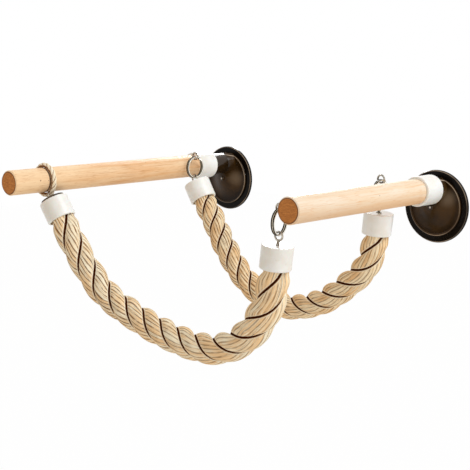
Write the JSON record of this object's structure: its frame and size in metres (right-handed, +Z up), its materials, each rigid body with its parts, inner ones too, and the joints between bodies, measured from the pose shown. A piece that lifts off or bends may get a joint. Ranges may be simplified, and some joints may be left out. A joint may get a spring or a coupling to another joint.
{
  "type": "window bird perch",
  "caption": "Bird perch for a window: wooden dowels on suction cups, with thick twisted rope swings hung between them on split rings and a twine loop.",
  "frame": {"origin": "on the window glass, midway between the two dowel axes and at their height", "axes": "+X from the left dowel to the right one, +Y into the glass, so the dowels point along -Y, +Z up"},
  "size_m": [0.367, 0.321, 0.1735],
  "materials": {
    "wood": "sanded pale beech",
    "white_plastic": "satin white",
    "black_rubber": "glossy black",
    "steel": "bright",
    "rope": "three-strand twisted hemp",
    "twine": "twisted twine"
  },
  "bodies": {
    "frame": {"left_dowel": "wood", "right_dowel": "wood", "left_sleeve": "white_plastic", "right_sleeve": "white_plastic", "left_suction_cup": "black_rubber", "right_suction_cup": "black_rubber", "left_cup_stud": "steel", "right_cup_stud": "steel", "left_stud_nut": "steel", "right_stud_nut": "steel", "twine_loop": "twine", "rear_left_dowel_eye": "steel", "front_right_dowel_eye": "steel", "rear_right_dowel_eye": "steel"},
    "front_swing": {"front_rope": "rope", "front_left_cap": "white_plastic", "front_right_cap": "white_plastic", "front_left_cap_eye": "steel", "front_right_cap_eye": "steel", "front_cap_washers": "steel", "front_cap_nuts": "steel", "front_left_bumper": "black_rubber"},
    "rear_swing": {"rear_rope": "rope", "rear_left_cap": "white_plastic", "rear_right_cap": "white_plastic", "rear_left_cap_eye": "steel", "rear_right_cap_eye": "steel", "rear_cap_washers": "steel", "rear_cap_nuts": "steel"},
    "rear_left_ring_body": {"rear_left_ring": "steel"},
    "front_right_ring_body": {"front_right_ring": "steel"},
    "rear_right_ring_body": {"rear_right_ring": "steel"}
  },
  "joints": [
    {"name": "front_swing_hinge", "type": "hinge", "parent": "frame", "child": "front_swing", "pos_m": [-0.13636, -0.276, -0.01484], "axis": [0.9852, 0.1712, 0.0069], "range_deg": [-20, 20]},
    {"name": "rear_swing_hinge", "type": "hinge", "parent": "frame", "child": "rear_swing", "pos_m": [-0.1283, -0.077, 0.001], "axis": [1, 0, 0], "range_deg": [-30, 20]},
    {"name": "rear_left_ring_spin", "type": "hinge", "parent": "frame", "child": "rear_left_ring_body", "pos_m": [-0.1283, -0.077, 0.001], "axis": [1, 0, 0], "continuous": true},
    {"name": "front_right_ring_spin", "type": "hinge", "parent": "frame", "child": "front_right_ring_body", "pos_m": [0.1283, -0.23, -0.013], "axis": [0.9852, 0.1712, 0], "continuous": true},
    {"name": "rear_right_ring_spin", "type": "hinge", "parent": "frame", "child": "rear_right_ring_body", "pos_m": [0.1283, -0.077, 0.001], "axis": [1, 0, 0], "continuous": true}
  ]
}
